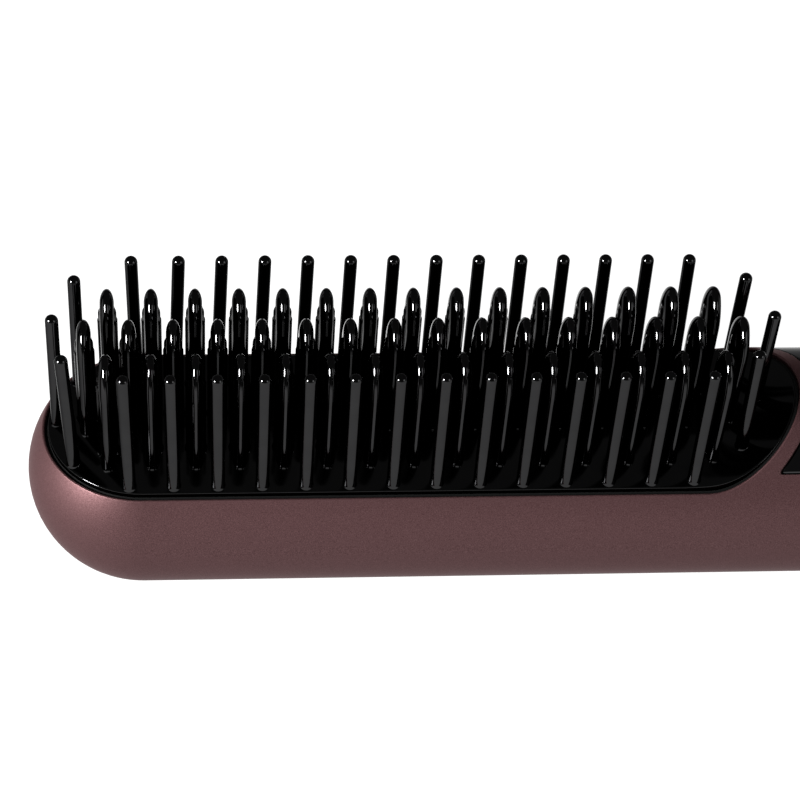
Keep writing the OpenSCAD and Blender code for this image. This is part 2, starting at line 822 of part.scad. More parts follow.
body_sleeve();
recess_seal();
bristle_plate();
teeth_front();
teeth_middle();
teeth_back();
pins_front();
pins_back();
pins_left_end();
pins_right_end();
heat_base();
heater_strips();
heater_clamp();
clamp_screws();
head_carrier();
thermal_fuse();
thermistor();
heater_leads();
control_lens();
display_module();
indicator_lights();
power_button();
plus_button();
minus_button();
tact_switches();
main_board();
board_parts();
cell_cradle();
cells();
cell_contacts();
charge_board();
charge_socket();
charge_light();
charge_leads();
tail_cap();
tail_screws();
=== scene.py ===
import json
import math

import bmesh
import bpy
import numpy as np
from mathutils import Matrix, Vector
from mathutils.geometry import delaunay_2d_cdt


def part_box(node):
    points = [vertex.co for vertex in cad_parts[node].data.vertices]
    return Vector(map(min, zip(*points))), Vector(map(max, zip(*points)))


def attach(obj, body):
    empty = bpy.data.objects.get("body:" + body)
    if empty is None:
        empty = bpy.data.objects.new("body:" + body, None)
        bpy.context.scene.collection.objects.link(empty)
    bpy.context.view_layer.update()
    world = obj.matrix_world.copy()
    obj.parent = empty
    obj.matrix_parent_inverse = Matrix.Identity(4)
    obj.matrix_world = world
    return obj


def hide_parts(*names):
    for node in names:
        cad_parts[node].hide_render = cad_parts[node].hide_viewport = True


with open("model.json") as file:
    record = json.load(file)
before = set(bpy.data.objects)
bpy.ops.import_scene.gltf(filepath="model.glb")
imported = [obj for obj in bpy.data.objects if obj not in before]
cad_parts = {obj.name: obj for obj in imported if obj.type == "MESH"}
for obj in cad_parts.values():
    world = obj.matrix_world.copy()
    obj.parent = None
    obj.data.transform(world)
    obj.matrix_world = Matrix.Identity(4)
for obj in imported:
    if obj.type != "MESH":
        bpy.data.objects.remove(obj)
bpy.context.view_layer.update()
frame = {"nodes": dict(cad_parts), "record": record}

# Lengths are millimetres in this script and become metres when a mesh is made
MM = 0.001


def node_box(name):
    low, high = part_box(name)
    return low / MM, high / MM


# Round body, from the frame: radius, height of its axis, centre of the nose and tail end
body_low, body_high = node_box("body_sleeve")
BODY_RADIUS = body_high.y
AXIS_Z = body_high.z - BODY_RADIUS
NOSE_X = body_low.x + BODY_RADIUS
CAP_X = body_high.x
WALL = 1.85
INNER_RADIUS = BODY_RADIUS - WALL

# Recess of the plate, with round ends about NOSE_X and HEAD_END
SEAT_GAP = 0.05
seal_low, seal_high = node_box("recess_seal")
RECESS_RADIUS = seal_high.y + SEAT_GAP
HEAD_END = seal_high.x + SEAT_GAP - RECESS_RADIUS
# Rounding of the body's rim, how far the rim stands further in than in the CAD, and the depth of
# the seal's top below the body's surface
RIM_ROUND = 0.25
RIM_LIP = 0.12
RIM_RADIUS = RECESS_RADIUS - RIM_LIP
SEAL_DROP = 0.8
SEAL_CLEAR = 0.02

# Plate: crowned across the head, swept up to the handle at its right end
plate_low, plate_high = node_box("bristle_plate")
PLATE_RADIUS = plate_high.y
PLATE_CROWN = 1.95
PLATE_RISE = 0.16
PLATE_DROP = 0.2
PLATE_ROUND = 0.16
PLATE_Z = AXIS_Z + math.sqrt(BODY_RADIUS ** 2 - RECESS_RADIUS ** 2) + PLATE_RISE + PLATE_CROWN
CROWN_RADIUS = (PLATE_RADIUS ** 2 + PLATE_CROWN ** 2) / (2 * PLATE_CROWN)
# The sweep starts a quarter of the pins' pitch before the last pin of the long rows
PIN_PITCH = 6.0
LAST_PIN_GAP = 2.045
LAST_PIN_X = HEAD_END - LAST_PIN_GAP
SWEEP_X = LAST_PIN_X - PIN_PITCH / 4
SWEEP_DROP = 0.44
SWEEP_LENGTH = HEAD_END + PLATE_RADIUS - SWEEP_X
SWEEP_RISE = AXIS_Z + BODY_RADIUS - SWEEP_DROP - PLATE_Z
SWEEP_RADIUS = (SWEEP_LENGTH ** 2 + SWEEP_RISE ** 2) / (2 * SWEEP_RISE)
PLATE_WALL = 1.75
POCKET_RADIUS = PLATE_RADIUS - PLATE_WALL
POCKET_TOP = node_box("heat_base")[1].z + SEAT_GAP

# Control panel: concave at the plate's end, bowed at the tail's end, narrower than in the CAD
lens_high = node_box("control_lens")[1]
PANEL_GAP = 0.1
PANEL_STRIP = 1.85
PANEL_NARROWER = 0.75
PANEL_HALF = lens_high.y + PANEL_GAP - PANEL_NARROWER
PANEL_END = lens_high.x + PANEL_GAP
PANEL_THICK = 0.9
PANEL_LEDGE = 1.2
PANEL_CORNER = 0.9
PANEL_ROUND = 0.22
PANEL_LIFT = 0.04
HOLE_ROUND = 0.12
LIGHT_RADIUS = 0.65
PANEL_BOW = 8
BOW_RADIUS = 1.2 * BODY_RADIUS + PANEL_BOW

# Outer pins. A flare is a list of heights above the plate, each with what it adds to the radius
PIN_TIP_RADIUS = 0.9
PIN_FOOT_RADIUS = 0.93
PIN_FLARE = [(-0.05, 0.11), (0.02, 0.06), (0.08, 0.025), (0.18, 0.0)]
PIN_ROOT = 0.3

# Heated teeth: how far each row stays below its CAD height, and the shape of ridge and shoulder
TOOTH_SHORT = {"teeth_front": 0.75, "teeth_middle": 0.3, "teeth_back": 0.5}
TOOTH_FIN = 0.98
TOOTH_HALF_DEPTH = 3.6
RIDGE_TIP = 1.7
RIDGE_TURN = math.radians(55)
RIDGE_FLANK = (TOOTH_HALF_DEPTH - RIDGE_TIP * math.cos(RIDGE_TURN)) / (1 - math.cos(RIDGE_TURN))
RIDGE_RISE = RIDGE_TIP + (RIDGE_FLANK - RIDGE_TIP) * math.sin(RIDGE_TURN)
RIDGE_EDGE = 2.0
TOOTH_WING = 1.4
WING_TOP = 2.9
WING_DOME = 1.1
WING_STEP = 0.13
WING_RIM = 5.1
WING_SLOPE = 0.155
TOOTH_FLARE = [(0.5, 0.0), (0.25, 0.03), (0.1, 0.1), (-0.05, 0.22)]
TOOTH_ROOT = 0.7

# Buttons on the panel
BUTTON_GAP = 0.15
BUTTON_PROUD = 0.35
FLANGE_RIM = 0.7
FLANGE_THICK = 0.9
FLANGE_GAP = 0.12
STEM_RADIUS = 1.3
BUTTON_ROUND = 0.35
BUTTON_DISH = 0.12
MARK_WIDTH = 0.36
POWER_MARK_WIDTH = 0.34
MARK_SUNK = 0.06
MARK_PROUD = 0.02
MARK_CROWN = 0.025

# Camera, as the photograph was taken
CAMERA_PLACE = Vector((-97.236, -231.807, 272.946)) * MM
CAMERA_YAW = math.radians(7.239)
CAMERA_DIP = math.radians(46.336)
CAMERA_ROLL = math.radians(4.768)
CAMERA_LENS = 108.81
CAMERA_SENSOR = 36

# White floor and the sky, which is white up to the horizon and dark from SKY_TURN above it
FLOOR_GLOW = 0.93
FLOOR_GREY = 0.12
FLOOR_HALF = 6.0
SKY_TURN = math.radians(10)
SKY_TOP = 0.1


class Shape:
    """Points in millimetres and faces. Points at the same place are one point."""

    def __init__(self):
        self.points = []
        self.places = {}
        self.faces = []

    def point(self, place):
        key = tuple(round(c, 3) for c in place)
        if key not in self.places:
            self.places[key] = len(self.points)
            self.points.append(tuple(place))
        return self.places[key]

    def face(self, corners):
        ids = [self.point(c) for c in corners]
        ids = [a for a, b in zip(ids, ids[1:] + ids[:1]) if a != b]
        if len(set(ids)) == len(ids) and len(ids) > 2:
            self.faces.append(ids)

    def grid(self, rows, closed=False):
        """Faces between rows of points; closed joins each row's end to its start."""
        for below, above in zip(rows, rows[1:]):
            count = len(below)
            for i in range(count if closed else count - 1):
                j = (i + 1) % count
                self.face((below[i], below[j], above[j], above[i]))

    def fan(self, ring, centre):
        for a, b in zip(ring, ring[1:] + ring[:1]):
            self.face((a, b, centre))

    def mesh(self, name, sharp):
        mesh = bpy.data.meshes.new(name)
        scaled = [(x * MM, y * MM, z * MM) for x, y, z in self.points]
        mesh.from_pydata(scaled, [], self.faces)
        work = bmesh.new()
        work.from_mesh(mesh)
        bmesh.ops.recalc_face_normals(work, faces=work.faces)
        limit = math.radians(sharp)
        for edge in work.edges:
            edge.smooth = len(edge.link_faces) == 2 and edge.calc_face_angle() < limit
        for side in work.faces:
            side.smooth = True
        work.to_mesh(mesh)
        work.free()
        return mesh


def add_piece(name, mesh, body, slot, replaced=(), material=None):
    """An object of a mesh, riding on a body and finished with a slot's material."""
    piece = bpy.data.objects.new(name, mesh)
    bpy.context.scene.collection.objects.link(piece)
    mesh.materials.append(material or slot_material(slot))
    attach(piece, body)
    if replaced:
        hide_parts(*replaced)
    return piece


def spread(start, end, count):
    return [start + (end - start) * i / (count - 1) for i in range(count)]


def inside(place, outline):
    """True if a flat place lies inside a closed outline."""
    x, y = place
    found = False
    for (ax, ay), (bx, by) in zip(outline, outline[1:] + outline[:1]):
        if (ay > y) != (by > y) and x < ax + (y - ay) * (bx - ax) / (by - ay):
            found = not found
    return found


def gap_to(place, outline):
    """Distance from a flat place to the nearest point of an outline."""
    return min(math.hypot(place[0] - x, place[1] - y) for x, y in outline)


def fill_flat(outer, holes, spacing):
    """Triangles that fill a flat outline around its holes, with inner points every spacing."""
    flat = list(outer)
    loops = [list(range(len(outer)))]
    for hole in holes:
        loops.append(list(range(len(flat), len(flat) + len(hole))))
        flat += hole
    edges = [(a, b) for loop in loops for a, b in zip(loop, loop[1:] + loop[:1])]
    if spacing:
        xs = [x for x, y in outer]
        ys = [y for x, y in outer]
        for i in range(1, int((max(xs) - min(xs)) / spacing) + 1):
            for j in range(1, int((max(ys) - min(ys)) / spacing) + 1):
                place = (min(xs) + (i - 0.5 * (j % 2)) * spacing, min(ys) + j * spacing)
                if not inside(place, outer) or any(inside(place, hole) for hole in holes):
                    continue
                if gap_to(place, flat[:loops[-1][-1] + 1]) > 0.6 * spacing:
                    flat.append(place)
    made = delaunay_2d_cdt([Vector(p) for p in flat], edges, [], 0, 1e-7)
    found, triangles = made[0], made[2]
    kept = []
    for triangle in triangles:
        corners = [tuple(found[i]) for i in triangle]
        middle = (sum(x for x, y in corners) / 3, sum(y for x, y in corners) / 3)
        if inside(middle, outer) and not any(inside(middle, hole) for hole in holes):
            kept.append(corners)
    return kept


def over_axis(x, y, radius):
    """Place on the upper side of a round bar of this radius along the body's axis."""
    return (x, y, AXIS_Z + math.sqrt(max(radius ** 2 - y ** 2, 0)))


def unrolled(x, y, radius):
    """The same place when the bar's surface is rolled out flat."""
    return (x, radius * math.asin(max(-1, min(1, y / radius))))


def rolled(flat, radius):
    return over_axis(flat[0], radius * math.sin(flat[1] / radius), radius)


# Stations round the head: spine centre and outward direction, nose first and then anticlockwise
ARC_STEPS = 40
SIDE_STEPS = 44
# Places along the handle, and across its top
LENGTH_STEPS = 75
TOP_STEPS = 25


def nose_stations():
    turns = spread(math.pi / 2, 1.5 * math.pi, ARC_STEPS + 1)
    return [(NOSE_X, math.cos(t), math.sin(t)) for t in turns]


def side_stations(side):
    return [(x, 0.0, side) for x in spread(NOSE_X, HEAD_END, SIDE_STEPS + 1)]


def end_stations(centre=None):
    turns = spread(-math.pi / 2, math.pi / 2, ARC_STEPS + 1)
    return [(centre or HEAD_END, math.cos(t), math.sin(t)) for t in turns]


def head_stations(end_centre=None):
    """The whole closed round of the head, without repeated stations."""
    low_side = side_stations(-1.0)[1:-1]
    high_side = side_stations(1.0)[1:-1][::-1]
    if end_centre:
        share = (end_centre - NOSE_X) / (HEAD_END - NOSE_X)
        low_side = [(NOSE_X + (x - NOSE_X) * share, 0.0, -1.0) for x, c, s in low_side]
        high_side = [(NOSE_X + (x - NOSE_X) * share, 0.0, 1.0) for x, c, s in high_side]
    return nose_stations() + low_side + end_stations(end_centre) + high_side


def at(station, distance, z):
    centre, across, along = station
    return (centre + distance * across, distance * along, z)


def rim_arc(station, radius, rounding, inner, steps=7):
    """Rounding between the body's surface and the recess wall at one station, from the top down."""
    centre, cos_turn, sin_turn = station
    reach = inner + rounding
    lean = (reach * cos_turn if centre == NOSE_X and cos_turn < 0 else 0.0, reach * sin_turn)
    height = math.sqrt((radius - rounding) ** 2 - lean[0] ** 2 - lean[1] ** 2)
    middle = Vector(at(station, reach, AXIS_Z + height))
    top = Vector((lean[0], lean[1], height)).normalized()
    side = Vector((-cos_turn, -sin_turn, 0))
    whole = top.angle(side)
    arc = []
    for share in spread(0, 1, steps):
        turn = (math.sin((1 - share) * whole) * top + math.sin(share * whole) * side) / math.sin(whole)
        arc.append(tuple(middle + rounding * turn))
    return arc


def level_turns(first, last, step=math.radians(4)):
    """Angles from the top of the body down one side, with one close to the first to hold its edge."""
    count = max(2, round((last - first) / step))
    hold = 0.012
    return [first, first + hold] + spread(first, last, count + 1)[1:]


def panel_outline(inset):
    """Outline of the control panel from above, anticlockwise, with rounded corners."""
    half = PANEL_HALF - inset
    left = RECESS_RADIUS + PANEL_STRIP + inset
    right = BOW_RADIUS - inset
    left_turn = math.asin(half / left)
    right_turn = math.asin(half / right)
    bow_x = PANEL_END - BOW_RADIUS
    low_left = (HEAD_END + left * math.cos(left_turn), -half)
    low_right = (bow_x + right * math.cos(right_turn), -half)
    low_side = [(x, -half) for x in spread(low_left[0], low_right[0], 30)]
    bow_turns = spread(-right_turn, right_turn, 18)
    bow = [(bow_x + right * math.cos(t), right * math.sin(t)) for t in bow_turns]
    high_side = [(x, -y) for x, y in reversed(low_side)]
    hollow_turns = spread(left_turn, -left_turn, 22)
    hollow = [(HEAD_END + left * math.cos(t), left * math.sin(t)) for t in hollow_turns]
    return rounded_loop([low_side, bow, high_side, hollow], PANEL_CORNER)


def rounded_loop(sides, radius, steps=6):
    """Joins sides end to end into one loop, cutting each corner back by radius and bending round it."""
    trimmed = []
    clear = 1.25 * radius
    for side in sides:
        start, end = side[0], side[-1]
        kept = [p for p in side if math.dist(p, start) > clear and math.dist(p, end) > clear]
        first = Vector(start) + (Vector(kept[0]) - Vector(start)).normalized() * radius
        last = Vector(end) + (Vector(kept[-1]) - Vector(end)).normalized() * radius
        trimmed.append([tuple(first)] + kept + [tuple(last)])
    loop = []
    for side, after, corner in zip(trimmed, trimmed[1:] + trimmed[:1], [s[-1] for s in sides]):
        loop += side
        a, b, c = Vector(side[-1]), Vector(corner), Vector(after[0])
        for t in spread(0, 1, steps)[1:-1]:
            loop.append(tuple((1 - t) ** 2 * a + 2 * t * (1 - t) * b + t ** 2 * c))
    return loop


def body_surface(shape, radius, recess, rounding, window, foot_z):
    """One surface of the body, outer or inner, open at the recess, the panel's window and the tail."""
    def rim(station):
        if rounding:
            return rim_arc(station, radius, rounding, recess)[0]
        centre, cos_turn, sin_turn = station
        lean = recess * cos_turn if centre == NOSE_X and cos_turn < 0 else 0.0
        height = math.sqrt(radius ** 2 - lean ** 2 - (recess * sin_turn) ** 2)
        return at(station, recess, AXIS_Z + height)

    first_rim = rim(nose_stations()[0])
    first = math.asin(first_rim[1] / radius)
    foot_half = math.sqrt(radius ** 2 - (AXIS_Z - foot_z) ** 2)
    last = math.pi - math.asin(foot_half / radius)
    turns = level_turns(first, last)
    split = 5
    spacing = 1.6
    profile = [(radius * math.sin(t), AXIS_Z + radius * math.cos(t)) for t in turns] + [(0.0, foot_z)]
    for stations in (nose_stations(), side_stations(-1.0), side_stations(1.0)):
        shape.grid([[at(s, d, z) for d, z in profile] for s in stations])
    along = spread(HEAD_END, CAP_X, LENGTH_STEPS)
    for side in (-1.0, 1.0):
        shape.grid([[(x, side * d, z) for d, z in profile[split:]] for x in along])
    top = radius * turns[split]
    level_s = [radius * t for t in turns[:split]]
    hollow = [unrolled(*rim(s)[:2], radius) for s in end_stations()]
    outer = [(HEAD_END, -s) for s in [top] + level_s[:0:-1]] + hollow
    outer += [(HEAD_END, s) for s in level_s[1:]]
    outer += [(x, top) for x in along]
    outer += [(CAP_X, s) for s in spread(top, -top, TOP_STEPS)[1:-1]]
    outer += [(x, -top) for x in along[:0:-1]]
    hole = [unrolled(x, y, radius) for x, y in window]
    for corners in fill_flat(outer, [hole], spacing):
        shape.face([rolled(c, radius) for c in corners])
    tail = [(CAP_X, d, z) for d, z in profile[split:]]
    tail += [(CAP_X, -d, z) for d, z in profile[-2:split:-1]]
    tail += [rolled((CAP_X, s), radius) for s in spread(-top, top, TOP_STEPS)[:-1]]
    return tail


def smooth_round(mesh, radius):
    """Gives the faces on a round outer surface of this radius the normals of the true shape."""
    near, facing, above_foot = 0.004, 0.93, 1e-6
    normals = [Vector(n.vector) for n in mesh.corner_normals]
    for side in mesh.polygons:
        for corner in side.loop_indices:
            place = mesh.vertices[mesh.loops[corner].vertex_index].co / MM
            out = Vector((min(0.0, place.x - NOSE_X), place.y, place.z - AXIS_Z))
            on_round = abs(out.length - radius) < near
            if on_round and side.normal.dot(out.normalized()) > facing and side.center.z > above_foot:
                normals[corner] = out.normalized()
    mesh.normals_split_custom_set(normals)


def make_body():
    shape = Shape()
    outer_tail = body_surface(shape, BODY_RADIUS, RIM_RADIUS, RIM_ROUND, panel_outline(-PANEL_ROUND), 0.0)
    inner_tail = body_surface(shape, INNER_RADIUS, RIM_RADIUS, 0, panel_outline(PANEL_LEDGE), WALL)
    rim_rows = []
    for station in head_stations():
        arc = rim_arc(station, BODY_RADIUS, RIM_ROUND, RIM_RADIUS)
        centre, cos_turn, sin_turn = station
        lean = RIM_RADIUS * cos_turn if centre == NOSE_X and cos_turn < 0 else 0.0
        low = math.sqrt(INNER_RADIUS ** 2 - lean ** 2 - (RIM_RADIUS * sin_turn) ** 2)
        rim_rows.append(arc + [at(station, RIM_RADIUS, AXIS_Z + low)])
    shape.grid([list(row) for row in zip(*rim_rows)], closed=True)
    window = []
    for share in spread(0, math.pi / 2, 4):
        inset = -PANEL_ROUND * (1 - math.sin(share))
        drop = PANEL_ROUND * (1 - math.cos(share))
        window.append([over_axis(x, y, BODY_RADIUS - drop) for x, y in panel_outline(inset)])
    for inset, radius in ((0, BODY_RADIUS - PANEL_THICK), (PANEL_LEDGE, BODY_RADIUS - PANEL_THICK),
                          (PANEL_LEDGE, INNER_RADIUS)):
        window.append([over_axis(x, y, radius) for x, y in panel_outline(inset)])
    shape.grid(window, closed=True)
    outline = [(y, z) for x, y, z in outer_tail]
    hole = [(y, z) for x, y, z in inner_tail]
    for corners in fill_flat(outline, [hole], 0):
        shape.face([(CAP_X, y, z) for y, z in corners])
    mesh = shape.mesh("body_shell", sharp=20)
    smooth_round(mesh, BODY_RADIUS)
    return add_piece("body_shell", mesh, "brush", "shell", ["body_sleeve"])


def plate_height(x, y):
    """Height of the plate's top surface at a place seen from above."""
    ahead = min(0.0, x - NOSE_X)
    crown = CROWN_RADIUS - math.sqrt(CROWN_RADIUS ** 2 - ahead ** 2 - y ** 2)
    rise = 0.0
    if x > SWEEP_X:
        rise = SWEEP_RADIUS - math.sqrt(SWEEP_RADIUS ** 2 - (x - SWEEP_X) ** 2)
    sweep = PLATE_Z + rise - crown
    body = BODY_RADIUS - PLATE_DROP
    return min(sweep, AXIS_Z + math.sqrt(body ** 2 - ahead ** 2 - y ** 2))


def plate_edge(station):
    """Rounded edge of the plate's top at one station, from the top surface down to the side."""
    def height(inset):
        x, y, z = at(station, PLATE_RADIUS - inset, 0)
        return plate_height(x, y)

    slope = math.atan((height(PLATE_ROUND) - height(0.5 * PLATE_ROUND)) / (0.5 * PLATE_ROUND))
    inset = PLATE_ROUND * (1 - math.sin(slope))
    arc = []
    for turn in spread(slope, math.pi / 2, 6):
        reach = PLATE_RADIUS - PLATE_ROUND * (1 - math.sin(turn))
        drop = PLATE_ROUND * (math.cos(slope) - math.cos(turn))
        arc.append(at(station, reach, height(inset) - drop))
    return arc, inset


def make_plate():
    shape = Shape()
    stations = head_stations()
    edges = [plate_edge(s) for s in stations]
    rows = []
    for share in [0, 0.01] + spread(0.05, 1, 20):
        ring = []
        for station, (arc, inset) in zip(stations, edges):
            x, y, z = at(station, (PLATE_RADIUS - inset) * (1 - share), 0)
            ring.append((x, y, plate_height(x, y)))
        rows.append(ring)
    shape.grid(rows, closed=True)
    sides = [list(row) for row in zip(*[arc for arc, inset in edges])]
    pocket = head_stations(LAST_PIN_X)
    bottom = plate_low.z
    sides.append([at(s, PLATE_RADIUS, bottom) for s in stations])
    sides.append([at(s, POCKET_RADIUS, bottom) for s in pocket])
    sides.append([at(s, POCKET_RADIUS, POCKET_TOP) for s in pocket])
    sides.append([at(s, 0.0, POCKET_TOP) for s in pocket])
    shape.grid(sides, closed=True)
    return add_piece("plate", shape.mesh("plate", sharp=40), "brush", "plate", ["bristle_plate"])


def make_seal():
    """Soft ring between the plate and the recess, its top a little below the rim."""
    shape = Shape()
    stations = head_stations()

    def ring(radius, sunk):
        row = []
        for station in stations:
            x, y, z = at(station, radius, seal_low.z)
            if sunk:
                reach = BODY_RADIUS - SEAL_DROP
                z = AXIS_Z + math.sqrt(reach ** 2 - min(0.0, x - NOSE_X) ** 2 - y ** 2)
            row.append((x, y, z))
        return row

    outer, inner = RIM_RADIUS - SEAT_GAP, PLATE_RADIUS + SEAL_CLEAR
    corners = ((outer, False), (outer, True), (inner, True), (inner, False), (outer, False))
    shape.grid([ring(radius, sunk) for radius, sunk in corners], closed=True)
    return add_piece("seal_ring", shape.mesh("seal_ring", sharp=30), "brush", "seal", ["recess_seal"])


def islands(name):
    """The separate solids of a CAD node, each as an array of its points in millimetres."""
    mesh = frame["nodes"][name].data
    places = np.array([v.co for v in mesh.vertices]) / MM
    unique, ids = np.unique(places.round(4), axis=0, return_inverse=True)
    ids = ids.reshape(-1)
    leader = list(range(len(unique)))

    def lead(i):
        while leader[i] != i:
            leader[i] = leader[leader[i]]
            i = leader[i]
        return i

    for edge in mesh.edges:
        a, b = lead(ids[edge.vertices[0]]), lead(ids[edge.vertices[1]])
        if a != b:
            leader[a] = b
    groups = {}
    for i in range(len(unique)):
        groups.setdefault(lead(i), []).append(unique[i])
    found = [np.array(group) for group in groups.values()]
    return sorted(found, key=lambda group: group[:, 0].mean())


def middle(points):
    return (points.min(0) + points.max(0)) / 2


def pin_mesh(shape, points):
    """One round pin along the axis of its CAD solid, with a small flare where it meets the plate."""
    top = points[:, 2].max()
    foot = middle(points[points[:, 2] < (points[:, 2].min() + top) / 2])
    ball = middle(points[points[:, 2] > top - PIN_TIP_RADIUS])
    ball[2] = top - PIN_TIP_RADIUS
    foot[2] = plate_height(foot[0], foot[1])
    foot, ball = Vector(foot), Vector(ball)
    axis = (ball - foot).normalized()
    length = (ball - foot).length
    sideways = axis.cross(Vector((0, 1, 0))).normalized()
    across = axis.cross(sideways)
    profile = [(h, PIN_FOOT_RADIUS + extra) for h, extra in PIN_FLARE]
    profile += [(h, PIN_FOOT_RADIUS + (PIN_TIP_RADIUS - PIN_FOOT_RADIUS) * h / length)
                for h in spread(1.5, length, 5)]
    profile += [(length + PIN_TIP_RADIUS * math.sin(t), PIN_TIP_RADIUS * math.cos(t))
                for t in spread(0, math.pi / 2, 9)[1:-1]]
    rings = []
    for level, (height, radius) in enumerate(profile):
        ring = []
        for turn in spread(0, 2 * math.pi, 33)[:-1]:
            place = foot + height * axis + radius * (math.cos(turn) * sideways + math.sin(turn) * across)
            if level < len(PIN_FLARE):
                follow = 1 - level / len(PIN_FLARE)
                place.z += follow * (plate_height(place.x, place.y) - foot.z)
            ring.append(tuple(place))
        rings.append(ring)
    shape.grid(rings, closed=True)
    shape.fan(rings[-1], tuple(ball + PIN_TIP_RADIUS * axis))
    low = foot - PIN_ROOT * axis
    shrink = 0.2
    root = [tuple(low + shrink * (Vector(p) - foot)) for p in rings[0]]
    shape.grid([rings[0], root], closed=True)
    shape.fan(root, tuple(low))


def make_pins():
    for name in ("pins_front", "pins_back", "pins_left_end", "pins_right_end"):
        shape = Shape()
        for points in islands(name):
            pin_mesh(shape, points)
        add_piece("outer_" + name, shape.mesh(name, sharp=60), "brush", "pins", [name])


# Directions round a tooth in degrees from its back end, closer together at the fine ends
QUARTER = [0, 1.2, 2.6, 4.2, 6, 8.5, 11.5, 15, 20, 27, 36, 46, 57, 68, 79]
HALF_TURN = QUARTER + [90] + [180 - turn for turn in QUARTER[:0:-1]]
TOOTH_TURNS = [math.radians(side + turn) for side in (0, 180) for turn in HALF_TURN]
# Depths of a tooth's rings below its tip, closer together at the tip and at the shoulder
TOOTH_DROPS = [0.02, 0.07, 0.15, 0.26, 0.4, 0.57, 0.76, 1.0, 1.25, 1.5, 1.8, 2.1, 2.4, 2.7, 2.95, 3.08,
               3.2, 3.35, 3.55, 3.8, 4.2, 4.7, 5.06, 5.1, 5.12, 5.18, 5.235, 5.255, 5.3, 5.9, 6.6,
               8, 10, 12, 14, 15.5]


def ridge_inset(y, drop):
    """How far a place in a tooth's side view lies inside the outline of its ridge."""
    y = abs(y)
    if drop > RIDGE_RISE:
        return TOOTH_HALF_DEPTH - y
    side, up = y + RIDGE_FLANK - TOOTH_HALF_DEPTH, RIDGE_RISE - drop
    if math.atan2(up, side) <= RIDGE_TURN:
        return RIDGE_FLANK - math.hypot(side, up)
    return RIDGE_TIP - math.hypot(y, drop - RIDGE_TIP)


def ridge_half(y, drop):
    """Half width of a tooth's ridge, whose edge is rounded."""
    inset = ridge_inset(y, drop)
    if inset <= 0:
        return 0.0
    edge = 1 - min(1.0, inset / RIDGE_EDGE)
    return TOOTH_FIN * math.sqrt(1 - edge ** 2)


def wing_radius(drop):
    """Radius of the round shoulder at a tooth's middle, with a small step at its rim."""
    if drop < WING_TOP:
        return 0.0
    if drop < WING_TOP + WING_DOME:
        share = (WING_TOP + WING_DOME - drop) / WING_DOME
        return (TOOTH_WING - WING_STEP) * (1 - share ** 2.5) ** 0.4
    step = min(1.0, max(0.0, (drop - WING_RIM) / WING_SLOPE))
    return TOOTH_WING - WING_STEP * (1 - step)


def tooth_reach(turn, drop):
    """Distance from a tooth's axis to its surface in one direction, at a depth below the tip."""
    beside, along = abs(math.sin(turn)), abs(math.cos(turn))
    low, high = 0.0, 2 * TOOTH_HALF_DEPTH
    for halving in range(26):
        reach = (low + high) / 2
        if ridge_half(reach * along, drop) > reach * beside:
            low = reach
        else:
            high = reach
    return max(low, wing_radius(drop))


TOOTH_RINGS = [[tooth_reach(turn, drop) for turn in TOOTH_TURNS] for drop in TOOTH_DROPS]


def tooth_mesh(shape, points, short):
    """One tooth in the place of its CAD solid, with a small fillet where it meets the plate."""
    centre = middle(points)
    top = points[:, 2].max() - short

    def ring_of(reaches, flare=0.0):
        return [(centre[0] + (reach + flare) * math.sin(turn), centre[1] + (reach + flare) * math.cos(turn))
                for turn, reach in zip(TOOTH_TURNS, reaches)]

    rings = []
    for drop, reaches in zip(TOOTH_DROPS, TOOTH_RINGS):
        rings.append([(x, y, top - drop) for x, y in ring_of(reaches)])
    for height, flare in TOOTH_FLARE:
        flat = ring_of(TOOTH_RINGS[-1], flare)
        rings.append([(x, y, plate_height(x, y) + height) for x, y in flat])
    shape.grid(rings, closed=True)
    shape.fan(rings[0], (centre[0], centre[1], top))
    low = (centre[0], centre[1], plate_height(centre[0], centre[1]) - TOOTH_ROOT)
    shrink = 0.5
    base = [(low[0] + shrink * (x - low[0]), low[1] + shrink * (y - low[1]), low[2])
            for x, y, z in rings[-1]]
    shape.grid([rings[-1], base], closed=True)
    shape.fan(base, low)


def make_teeth():
    for name in ("teeth_front", "teeth_middle", "teeth_back"):
        shape = Shape()
        for points in islands(name):
            tooth_mesh(shape, points, TOOTH_SHORT[name])
        add_piece("heated_" + name, shape.mesh(name, sharp=50), "brush", "teeth", [name])


def circle(place, radius, count=48):
    return [(place + radius * math.cos(t), radius * math.sin(t))
            for t in spread(0, 2 * math.pi, count + 1)[:-1]]


def button_place(name):
    low, high = node_box(name)
    return (low.x + high.x) / 2, (high.x - low.x) / 2 - FLANGE_RIM


